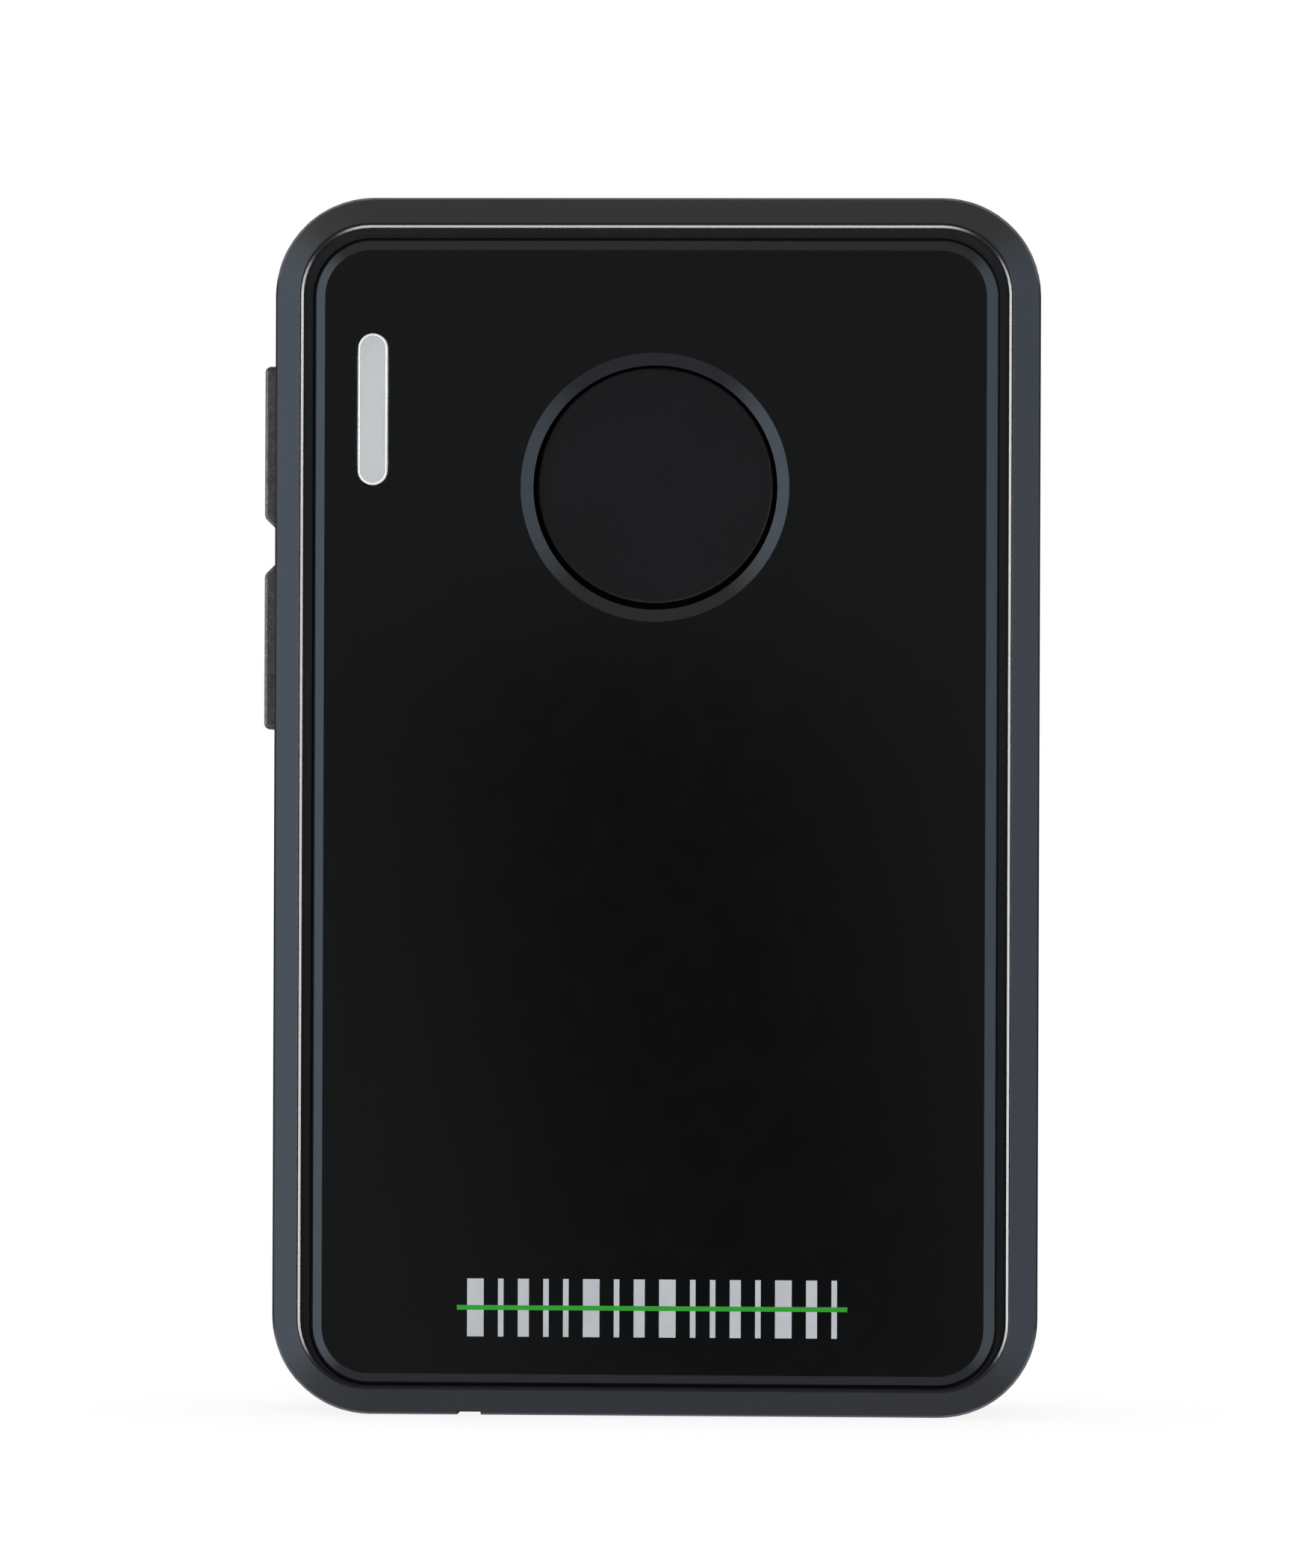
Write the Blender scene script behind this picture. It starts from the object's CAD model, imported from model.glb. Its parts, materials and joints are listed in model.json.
import json
import math

import bpy
from mathutils import Matrix, Vector


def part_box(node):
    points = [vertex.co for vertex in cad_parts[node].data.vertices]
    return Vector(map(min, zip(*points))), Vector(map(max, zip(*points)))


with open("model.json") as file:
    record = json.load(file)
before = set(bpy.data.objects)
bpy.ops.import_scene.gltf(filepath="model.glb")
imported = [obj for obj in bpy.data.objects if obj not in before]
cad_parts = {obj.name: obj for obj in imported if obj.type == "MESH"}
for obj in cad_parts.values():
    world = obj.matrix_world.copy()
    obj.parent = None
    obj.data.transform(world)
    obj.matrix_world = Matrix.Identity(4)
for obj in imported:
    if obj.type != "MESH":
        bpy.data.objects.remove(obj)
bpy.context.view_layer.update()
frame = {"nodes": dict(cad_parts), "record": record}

MM = 0.001


# ---- node helpers ----
class Tree:
    """A material's or world's node tree, with short ways to add and join nodes."""

    def __init__(self, owner):
        owner.use_nodes = True
        self.tree = owner.node_tree
        self.nodes = self.tree.nodes
        self.nodes.clear()

    def add(self, kind, settings=None, **inputs):
        """Adds a node. Each input is a value or a node's output; double underscores stand for spaces."""
        node = self.nodes.new(kind)
        for key, value in (settings or {}).items():
            setattr(node, key, value)
        for key, value in inputs.items():
            self.join(value, node.inputs[key.replace("__", " ")])
        return node

    def join(self, value, socket):
        if isinstance(value, bpy.types.NodeSocket):
            self.tree.links.new(value, socket)
        else:
            socket.default_value = value

    def math(self, operation, first, second=0.0):
        node = self.nodes.new("ShaderNodeMath")
        node.operation = operation
        self.join(first, node.inputs[0])
        self.join(second, node.inputs[1])
        return node.outputs[0]

    def ramp(self, value, from_low, from_high, to_low, to_high, smooth=False):
        """Maps a value from one span to another, held at the ends."""
        node = self.nodes.new("ShaderNodeMapRange")
        node.interpolation_type = "SMOOTHSTEP" if smooth else "LINEAR"
        for socket, number in zip(node.inputs, (value, from_low, from_high, to_low, to_high)):
            self.join(number, socket)
        return node.outputs[0]

    def blend(self, share, first, second):
        """Mixes two colours."""
        node = self.nodes.new("ShaderNodeMix")
        node.data_type = "RGBA"
        self.join(share, node.inputs[0])
        self.join(first, node.inputs[6])
        self.join(second, node.inputs[7])
        return node.outputs[2]

    def noise(self, size_mm, detail=2.0, stretch=(1, 1, 1)):
        """Noise whose features are about size_mm across, fixed in the part's frame."""
        place = self.add("ShaderNodeTexCoord").outputs["Object"]
        scaled = self.add("ShaderNodeMapping", Vector=place)
        scaled.inputs["Scale"].default_value = [share / (size_mm * MM) for share in stretch]
        noise = self.add("ShaderNodeTexNoise", None, Vector=scaled.outputs[0], Scale=1.0, Detail=detail)
        return noise.outputs[0]


def grey(value):
    return (value, value, value, 1.0)


def shade(colour, factor):
    """The colour, lighter or darker."""
    return tuple(min(1.0, part * factor) for part in colour[:3]) + (1.0,)


# A bevelled normal parts from the flat one near an edge: these dot products mean "no edge" and "full edge".
NO_EDGE, FULL_EDGE = 0.9995, 0.93
GRAIN_SPAN = (0.3, 0.7)       # where most of the noise's values lie
WEAR_SPAN = (0.4, 0.65)       # patches that wear little and patches that wear fully
LEAST_WEAR = 0.3
SPECK_SIZE_MM = 0.16
SPECK_SPAN = (0.7, 0.78)      # only the noise's highest peaks are specks


def finish_of(name, colour, roughness, **options):
    """A procedural surface: mottled colour and roughness, a fine grain with height, and lighter, worn edges.

    Options: metallic, coat, alpha, subsurface, specular and ior are the shader's own.
    mottle is the share of colour change between patches of patch_mm.
    grain_mm, grain_height_mm and stretch shape the grain, and rough_spread is its change of roughness.
    wear is the share of lightening at edges, wear_lift how light they get, edge_mm how far they look rounded.
    specks says how much lighter scattered specks are.
    edge_glow is light that leaks out along the edges of a light guide.
    """
    material = bpy.data.materials.new(name)
    tree = Tree(material)
    base = tuple(colour) + (1.0,)
    patches = tree.noise(options.get("patch_mm", 6.0), 3.0)
    mottle = options.get("mottle", 0.12)
    mottled = tree.blend(patches, shade(base, 1 - mottle), shade(base, 1 + mottle))
    grain = tree.noise(options.get("grain_mm", 0.25), 2.0, options.get("stretch", (1, 1, 1)))
    spread = options.get("rough_spread", 0.04)
    rough = tree.ramp(grain, *GRAIN_SPAN, roughness - spread, roughness + spread)
    edge_mm = options.get("edge_mm", 0.06)
    rounded = tree.add("ShaderNodeBevel", {"samples": 4}, Radius=edge_mm * MM).outputs[0]
    flat = tree.add("ShaderNodeNewGeometry").outputs["Normal"]
    facing = tree.add("ShaderNodeVectorMath", {"operation": "DOT_PRODUCT"})
    tree.join(rounded, facing.inputs[0])
    tree.join(flat, facing.inputs[1])
    edge = tree.ramp(facing.outputs["Value"], NO_EDGE, FULL_EDGE, 0.0, 1.0)
    worn = tree.math("MULTIPLY", edge, tree.ramp(patches, *WEAR_SPAN, LEAST_WEAR, 1.0))
    worn = tree.math("MULTIPLY", worn, options.get("wear", 0.3))
    shown = tree.blend(worn, mottled, shade(base, options.get("wear_lift", 2.0)))
    if "specks" in options:
        specks = tree.ramp(tree.noise(SPECK_SIZE_MM, 1.0), *SPECK_SPAN, 0.0, 1.0)
        shown = tree.blend(specks, shown, shade(base, options["specks"]))
    bump = tree.add(
        "ShaderNodeBump",
        Height=grain,
        Strength=1.0,
        Distance=options.get("grain_height_mm", 0.002) * MM,
        Normal=rounded,
    )
    surface = tree.add(
        "ShaderNodeBsdfPrincipled",
        Base__Color=shown,
        Roughness=rough,
        Metallic=options.get("metallic", 0.0),
        Normal=bump.outputs[0],
        IOR=options.get("ior", 1.5),
    )
    for key, socket in (
        ("coat", "Coat Weight"),
        ("alpha", "Alpha"),
        ("subsurface", "Subsurface Weight"),
        ("specular", "Specular IOR Level"),
    ):
        if key in options:
            surface.inputs[socket].default_value = options[key]
    if "edge_glow" in options:
        surface.inputs["Emission Color"].default_value = grey(1.0)
        tree.join(tree.math("MULTIPLY", edge, options["edge_glow"]), surface.inputs["Emission Strength"])
    tree.add("ShaderNodeOutputMaterial", Surface=surface.outputs[0])
    return material


# ---- finishes, one per material slot of the record ----
def housing_plastic():
    return finish_of(
        "housing_plastic", (0.0074, 0.0077, 0.0084), 0.2,
        patch_mm=9.0, grain_mm=0.12, grain_height_mm=0.0005, rough_spread=0.03,
        wear=0.25, edge_mm=0.02,
    )


def panel_gloss():
    return finish_of(
        "panel_gloss", (0.0122, 0.0125, 0.0125), 0.075,
        patch_mm=18.0, grain_mm=1.8, grain_height_mm=0.0006, rough_spread=0.015,
        wear=0.15, edge_mm=0.03, ior=1.58,
    )


def trigger_rubber():
    return finish_of(
        "trigger_rubber", (0.0030, 0.0032, 0.0037), 0.5,
        patch_mm=5.0, mottle=0.18, grain_mm=0.09, grain_height_mm=0.004, rough_spread=0.06,
        wear=0.4, edge_mm=0.06, specular=0.15, specks=2.2,
    )


def side_key_rubber():
    return finish_of(
        "side_key_rubber", (0.038, 0.039, 0.04), 0.45,
        patch_mm=0.25, mottle=0.9, grain_mm=0.12, grain_height_mm=0.03, rough_spread=0.1,
        wear=0.5, edge_mm=0.05,
    )


def light_guide():
    return finish_of(
        "light_guide", (0.464, 0.419, 0.402), 0.3,
        patch_mm=2.5, mottle=0.04, grain_mm=0.2,
        wear=0.5, wear_lift=2.0, edge_mm=0.06, subsurface=0.3, edge_glow=2.2,
    )


def mark_print():
    return finish_of(
        "mark_print", (0.42, 0.43, 0.44), 0.4,
        patch_mm=1.2, mottle=0.12, grain_mm=0.08, edge_mm=0.02,
    )


def mark_green():
    return finish_of(
        "mark_green", (0.02, 0.27, 0.02), 0.4,
        patch_mm=1.2, mottle=0.12, grain_mm=0.08, edge_mm=0.02,
    )


def seal_rubber():
    return finish_of(
        "seal_rubber", (0.012, 0.012, 0.012), 0.55,
        mottle=0.2, grain_mm=0.15, grain_height_mm=0.004,
    )


def adhesive():
    return finish_of("adhesive", (0.02, 0.02, 0.02), 0.7, grain_mm=0.3, mottle=0.3)


def screw_steel():
    return finish_of(
        "screw_steel", (0.16, 0.16, 0.17), 0.32,
        metallic=1.0, patch_mm=0.8, mottle=0.25, grain_mm=0.06, rough_spread=0.1,
        wear=0.8, wear_lift=2.6, edge_mm=0.07,
    )


def insert_brass():
    return finish_of(
        "insert_brass", (0.72, 0.5, 0.2), 0.3,
        metallic=1.0, mottle=0.15, rough_spread=0.08,
        grain_mm=0.35, grain_height_mm=0.02, stretch=(3, 0.4, 3),
    )


def circuit_board():
    return finish_of(
        "circuit_board", (0.012, 0.085, 0.035), 0.35,
        patch_mm=1.6, mottle=0.45, grain_mm=0.4, grain_height_mm=0.006,
        wear=0.5, wear_lift=2.5, edge_mm=0.05,
    )


def chip_epoxy():
    return finish_of(
        "chip_epoxy", (0.018, 0.018, 0.019), 0.5,
        patch_mm=1.0, grain_mm=0.07, grain_height_mm=0.003, mottle=0.25,
    )


def component_ceramic():
    return finish_of(
        "component_ceramic", (0.36, 0.26, 0.15), 0.45,
        patch_mm=0.5, mottle=0.35, grain_mm=0.1,
    )


def ferrite():
    return finish_of(
        "ferrite", (0.05, 0.05, 0.055), 0.6,
        patch_mm=0.8, mottle=0.25, grain_mm=0.1, grain_height_mm=0.006,
    )


def can_metal():
    return finish_of(
        "can_metal", (0.6, 0.6, 0.58), 0.3,
        metallic=1.0, patch_mm=2.5, mottle=0.1, grain_mm=0.3, stretch=(0.3, 1, 4),
        wear=0.4, wear_lift=1.4, rough_spread=0.08,
    )


def copper_trace():
    return finish_of(
        "copper_trace", (0.75, 0.45, 0.2), 0.35,
        metallic=1.0, mottle=0.15, grain_mm=0.1, rough_spread=0.08,
    )


def led_lens():
    return finish_of(
        "led_lens", (0.75, 0.77, 0.68), 0.18,
        patch_mm=0.6, mottle=0.1, grain_mm=0.15, subsurface=0.4,
    )


def switch_plastic():
    return finish_of(
        "switch_plastic", (0.022, 0.022, 0.024), 0.45,
        patch_mm=1.5, mottle=0.25, grain_mm=0.1,
    )


def plunger_plastic():
    return finish_of(
        "plunger_plastic", (0.6, 0.58, 0.5), 0.4,
        patch_mm=0.8, mottle=0.1, grain_mm=0.1,
    )


def battery_pouch():
    return finish_of(
        "battery_pouch", (0.5, 0.51, 0.53), 0.34,
        metallic=0.9, patch_mm=5.0, mottle=0.08, grain_mm=1.2, grain_height_mm=0.03,
        edge_mm=0.15, rough_spread=0.08,
    )


def tape():
    return finish_of(
        "tape", (0.6, 0.56, 0.45), 0.7,
        patch_mm=3.0, mottle=0.1, grain_mm=0.2, grain_height_mm=0.01,
    )


def wire_red():
    return finish_of("wire_red", (0.45, 0.012, 0.008), 0.35, patch_mm=0.8, mottle=0.15, grain_mm=0.1)


def wire_black():
    return finish_of("wire_black", (0.012, 0.012, 0.012), 0.35, patch_mm=0.8, mottle=0.2, grain_mm=0.1)


def connector_nylon():
    return finish_of(
        "connector_nylon", (0.66, 0.63, 0.54), 0.4,
        patch_mm=1.2, mottle=0.08, grain_mm=0.12, subsurface=0.1,
    )


def port_steel():
    return finish_of(
        "port_steel", (0.45, 0.45, 0.45), 0.26,
        metallic=1.0, patch_mm=1.5, mottle=0.12, grain_mm=0.12, stretch=(2, 2, 0.25),
        wear=0.6, wear_lift=1.6, rough_spread=0.08,
    )


def port_insulator():
    return finish_of(
        "port_insulator", (0.012, 0.012, 0.013), 0.42,
        patch_mm=1.0, mottle=0.2, grain_mm=0.1,
    )


def contact_gold():
    return finish_of(
        "contact_gold", (0.8, 0.56, 0.2), 0.22,
        metallic=1.0, patch_mm=0.4, mottle=0.1, grain_mm=0.05,
    )


def window_tint():
    return finish_of(
        "window_tint", (0.055, 0.004, 0.006), 0.04,
        patch_mm=12.0, mottle=0.05, grain_mm=3.0, grain_height_mm=0.0006, rough_spread=0.01,
        wear=0.3, alpha=0.86, coat=0.3,
    )


def engine_metal():
    return finish_of(
        "engine_metal", (0.035, 0.035, 0.038), 0.42,
        metallic=0.6, patch_mm=3.0, mottle=0.2, grain_mm=0.1, grain_height_mm=0.005,
        wear=0.7, wear_lift=3.0,
    )


def optical_glass():
    return finish_of(
        "optical_glass", (0.45, 0.5, 0.62), 0.03,
        patch_mm=4.0, mottle=0.03, grain_mm=1.0, rough_spread=0.005, wear=0.0, alpha=0.45,
    )


def flex_film():
    return finish_of(
        "flex_film", (0.4, 0.17, 0.03), 0.25,
        patch_mm=1.5, mottle=0.2, grain_mm=0.35, stretch=(3, 0.2, 0.2),
    )


def label_film():
    return finish_of(
        "label_film", (0.2, 0.2, 0.205), 0.38,
        metallic=0.3, patch_mm=7.0, mottle=0.05, grain_mm=0.1, stretch=(0.2, 1, 3),
        wear=0.5, wear_lift=1.5, edge_mm=0.08,
    )


FINISHES = (
    housing_plastic, panel_gloss, trigger_rubber, side_key_rubber, light_guide, mark_print, mark_green,
    seal_rubber, adhesive, screw_steel, insert_brass, circuit_board, chip_epoxy, component_ceramic, ferrite,
    can_metal, copper_trace, led_lens, switch_plastic, plunger_plastic, battery_pouch, tape, wire_red,
    wire_black, connector_nylon, port_steel, port_insulator, contact_gold, window_tint, engine_metal,
    optical_glass, flex_film, label_film,
)


def dress_nodes():
    """Gives each CAD node the finish of its material slot."""
    finishes = {make.__name__: make() for make in FINISHES}
    for row in frame["record"]["subparts"]:
        piece = frame["nodes"][row["node"]]
        piece.data.materials.clear()
        piece.data.materials.append(finishes[row["material_slot"]])


dress_nodes()


# ---- floor ----
FLOOR_HALF_SIDE = 3.0
CONTACT_SHADE = 0.9           # the floor's level where the part hides most of the light
CONTACT_REACH = 14 * MM
HIDDEN = 0.2                  # how open a place is where the shade is deepest


def make_floor(low_z):
    """Pale floor that shades softly under the part, and otherwise melts into the white background."""
    mesh = bpy.data.meshes.new("floor")
    signs = ((-1, -1), (1, -1), (1, 1), (-1, 1))
    corners = [(x * FLOOR_HALF_SIDE, y * FLOOR_HALF_SIDE, low_z) for x, y in signs]
    mesh.from_pydata(corners, [], [(0, 1, 2, 3)])
    floor = bpy.data.objects.new("floor", mesh)
    bpy.context.scene.collection.objects.link(floor)
    material = bpy.data.materials.new("floor_white")
    tree = Tree(material)
    openness = tree.add("ShaderNodeAmbientOcclusion", {"samples": 16}, Distance=CONTACT_REACH).outputs["AO"]
    seen = tree.ramp(openness, HIDDEN, 1.0, CONTACT_SHADE, 1.0)
    glow = tree.add("ShaderNodeEmission", Color=grey(1.0), Strength=seen)
    tree.add("ShaderNodeOutputMaterial", Surface=glow.outputs[0])
    mesh.materials.append(material)
    floor.visible_diffuse = False
    floor.visible_glossy = False
    floor.visible_transmission = False
    floor.visible_shadow = False


# ---- light ----
# The world's levels are set by direction. In the spans below, x, y and z are the parts of a unit direction.
SIDE_LIGHT = 1.0
RIGHT_SHARE = 0.78
SIDE_TINT = (0.75, 0.91, 1.09, 1.0)
AHEAD_GAIN = 1.42             # the sides are a little brighter ahead of the part than level with it
ABOVE_LIGHT = 0.37
BELOW_LIGHT = 0.38
BELOW_TINT = (0.92, 0.97, 1.12, 1.0)
FRONT_LIGHT = 0.13
BACK_LIGHT = 1.0
COLUMN_LEFT = 0.047           # a dark column ahead, which the panel mirrors below its middle
COLUMN_HALF_WIDTH = 0.048
COLUMN_LEAN = 0.2
COLUMN_DARKNESS = 1.0
STRAIGHT_BEHIND = 0.03        # dark, so that the outline's grazing reflections draw a thin dark line
SIDE_SPAN = (0.55, 0.95)      # |x|, from above and below to the sides
LEFT_TO_RIGHT = (-0.3, 0.3)   # x
LEVEL_TO_AHEAD = (0.2, -0.1)  # y
LOW_TO_HIGH = (-0.3, 0.3)     # z
BELOW_TINT_SPAN = (-0.6, -0.2)       # z
BEHIND_SPAN = (0.3, 0.9)             # y
STRAIGHT_BEHIND_SPAN = (0.74, 0.9)   # y
HORIZON_SPAN = (0.1, 0.2)            # |z|, of the dark strip behind the part
HORIZON_BEHIND = (0.45, 0.6)         # y, where that strip starts
FRONT_SPAN = (-0.35, -0.75)          # y
COLUMN_TOP = (0.004, 0.026)          # z, where the dark column fades out upwards
COLUMN_FOOT = (-0.088, -0.062)       # z, and downwards
RIM_SLOPE = math.radians(30)  # the slope inside the housing's rim
RIM_BEHIND_FACE = 0.4 * MM    # how deep the lit slope lies behind the housing's front
STRIP_DISTANCE = 0.4
STRIP_SIZE = (0.06, 0.3)
SIDE_STRIP = 26.0
FLOOR_STRIP_SIZE = (0.25, 0.02)
FLOOR_STRIP_LIFT = 1 * MM
FLOOR_STRIP = 1.3
FLOOR_STRIP_SPREAD = 50.0     # degrees


def mixed(tree, share, first, second):
    """Goes from the first level to the second as share goes from 0 to 1."""
    mix = tree.add("ShaderNodeMix", {"data_type": "FLOAT"})
    tree.join(share, mix.inputs[0])
    tree.join(first, mix.inputs[2])
    tree.join(second, mix.inputs[3])
    return mix.outputs[0]


def make_world():
    """White to the camera. To the part: bright at the sides, dim above and below, dark ahead and behind."""
    world = bpy.data.worlds.new("studio")
    bpy.context.scene.world = world
    tree = Tree(world)
    direction = tree.add("ShaderNodeTexCoord").outputs["Generated"]
    axes = tree.add("ShaderNodeSeparateXYZ", Vector=direction).outputs
    sideways = tree.ramp(tree.math("ABSOLUTE", axes[0]), *SIDE_SPAN, 0.0, 1.0, True)
    side_level = tree.ramp(axes[0], *LEFT_TO_RIGHT, SIDE_LIGHT, SIDE_LIGHT * RIGHT_SHARE, True)
    side_level = tree.math("MULTIPLY", side_level, tree.ramp(axes[1], *LEVEL_TO_AHEAD, 1.0, AHEAD_GAIN))
    upright = tree.ramp(axes[2], *LOW_TO_HIGH, BELOW_LIGHT, ABOVE_LIGHT, True)
    level = mixed(tree, sideways, upright, side_level)
    level = mixed(tree, tree.ramp(axes[1], *BEHIND_SPAN, 0.0, 1.0, True), level, BACK_LIGHT)
    straight = tree.ramp(axes[1], *STRAIGHT_BEHIND_SPAN, 0.0, 1.0, True)
    level = mixed(tree, straight, level, STRAIGHT_BEHIND)
    horizon = tree.ramp(tree.math("ABSOLUTE", axes[2]), *HORIZON_SPAN, 1.0, 0.0, True)
    horizon = tree.math("MULTIPLY", horizon, tree.ramp(axes[1], *HORIZON_BEHIND, 0.0, 1.0, True))
    level = mixed(tree, horizon, level, STRAIGHT_BEHIND)
    leaning = tree.math("ADD", axes[0], tree.math("MULTIPLY", axes[2], COLUMN_LEAN))
    off_column = tree.math("ABSOLUTE", tree.math("ADD", leaning, COLUMN_LEFT))
    column = tree.ramp(off_column, 0.0, COLUMN_HALF_WIDTH, COLUMN_DARKNESS, 0.0, True)
    column = tree.math("MULTIPLY", column, tree.ramp(axes[2], *COLUMN_TOP, 1.0, 0.0, True))
    column = tree.math("MULTIPLY", column, tree.ramp(axes[2], *COLUMN_FOOT, 0.0, 1.0, True))
    front = tree.math("MULTIPLY", tree.math("SUBTRACT", 1.0, column), FRONT_LIGHT)
    level = mixed(tree, tree.ramp(axes[1], *FRONT_SPAN, 0.0, 1.0, True), level, front)
    tint = tree.blend(tree.ramp(axes[2], *BELOW_TINT_SPAN, 0.0, 1.0, True), BELOW_TINT, grey(1.0))
    tint = tree.blend(sideways, tint, SIDE_TINT)
    path = tree.add("ShaderNodeLightPath")
    to_part = tree.add("ShaderNodeBackground", Color=tint, Strength=level)
    to_camera = tree.add("ShaderNodeBackground", Color=grey(1.0), Strength=1.0)
    mix = tree.add("ShaderNodeMixShader", Fac=path.outputs["Is Camera Ray"])
    tree.join(to_part.outputs[0], mix.inputs[1])
    tree.join(to_camera.outputs[0], mix.inputs[2])
    tree.add("ShaderNodeOutputWorld", Surface=mix.outputs[0])


def strip_receivers():
    """Everything but the glossy panel, which would mirror a whole strip when seen from the side."""
    receivers = bpy.data.collections.new("strip_receivers")
    for name, piece in frame["nodes"].items():
        if name != "front_panel":
            receivers.objects.link(piece)
    return receivers


def strip_light(name, place, aim, size, radiance, receivers, spread=180.0):
    """Long soft light shining from place towards aim, which isn't itself in the picture."""
    data = bpy.data.lights.new(name, "AREA")
    data.shape = "RECTANGLE"
    data.size, data.size_y = size
    data.energy = radiance * math.pi * size[0] * size[1]
    data.spread = math.radians(spread)
    light = bpy.data.objects.new(name, data)
    bpy.context.scene.collection.objects.link(light)
    light.location = place
    light.rotation_mode = "QUATERNION"
    light.rotation_quaternion = (Vector(place) - Vector(aim)).to_track_quat("Z", "Y")
    light.visible_camera = False
    light.light_linking.receiver_collection = receivers


def make_lights(low, high, camera_place):
    """Strips mirrored in the rim's narrow inner slope: one at each side, and one on the floor for the top."""
    receivers = strip_receivers()
    rim_y = low.y + RIM_BEHIND_FACE
    for side, rim_x in (("right", low.x), ("left", high.x)):
        towards_camera = math.atan2(camera_place.x - rim_x, rim_y - camera_place.y)
        turn = 2 * RIM_SLOPE - towards_camera if side == "right" else -2 * RIM_SLOPE - towards_camera
        place = (STRIP_DISTANCE * math.sin(turn), -STRIP_DISTANCE * math.cos(turn), 0.0)
        strip_light("strip_" + side, place, (0, 0, 0), STRIP_SIZE, SIDE_STRIP, receivers)
    floor_y = rim_y - (high.z - low.z) / math.tan(2 * RIM_SLOPE)
    place = (0, floor_y, low.z + FLOOR_STRIP_LIFT)
    aim = (0, rim_y, high.z)
    strip_light("strip_floor", place, aim, FLOOR_STRIP_SIZE, FLOOR_STRIP, receivers, FLOOR_STRIP_SPREAD)


# ---- camera ----
PHOTO_WIDTH, PHOTO_HEIGHT = 1738, 2100
VIEW_AZIMUTH = math.radians(2.7)
VIEW_DISTANCE = 0.5
SENSOR_WIDTH = 36.0
CLIP = (0.01, 20.0)
VIEW_ROLL = math.radians(0.21)
BODY_SHARE = 0.5904           # the body's width as a share of the picture's width
RIGHT_OF_MIDDLE = -0.0004     # how far the camera looks to the left of the body's middle
ABOVE_MIDDLE = 0.00135        # and above it
SHOULDER_DEPTH = 2.15 * MM    # how far behind the rim the body is widest


def make_camera(body_width, widest_y):
    """Camera at the viewing angle, framed on the body's widest outline."""
    data = bpy.data.cameras.new("camera")
    camera = bpy.data.objects.new("camera", data)
    bpy.context.scene.collection.objects.link(camera)
    seen_height = body_width / BODY_SHARE * PHOTO_HEIGHT / PHOTO_WIDTH
    data.sensor_width = SENSOR_WIDTH
    data.lens = SENSOR_WIDTH * VIEW_DISTANCE / seen_height
    data.clip_start, data.clip_end = CLIP
    target = Vector((RIGHT_OF_MIDDLE, widest_y, ABOVE_MIDDLE))
    back = Vector((math.sin(VIEW_AZIMUTH), -math.cos(VIEW_AZIMUTH), 0.0))
    camera.rotation_mode = "QUATERNION"
    facing = (-back).to_track_quat("-Z", "Y").to_matrix()
    camera.rotation_quaternion = (facing @ Matrix.Rotation(VIEW_ROLL, 3, "Z")).to_quaternion()
    camera.location = target + back * VIEW_DISTANCE
    bpy.context.scene.camera = camera
    return camera


low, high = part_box("front_housing")
make_floor(low.z)
make_world()
camera = make_camera(high.x - low.x, low.y + SHOULDER_DEPTH)
make_lights(low, high, camera.location)

bpy.context.scene.view_settings.view_transform = "Standard"
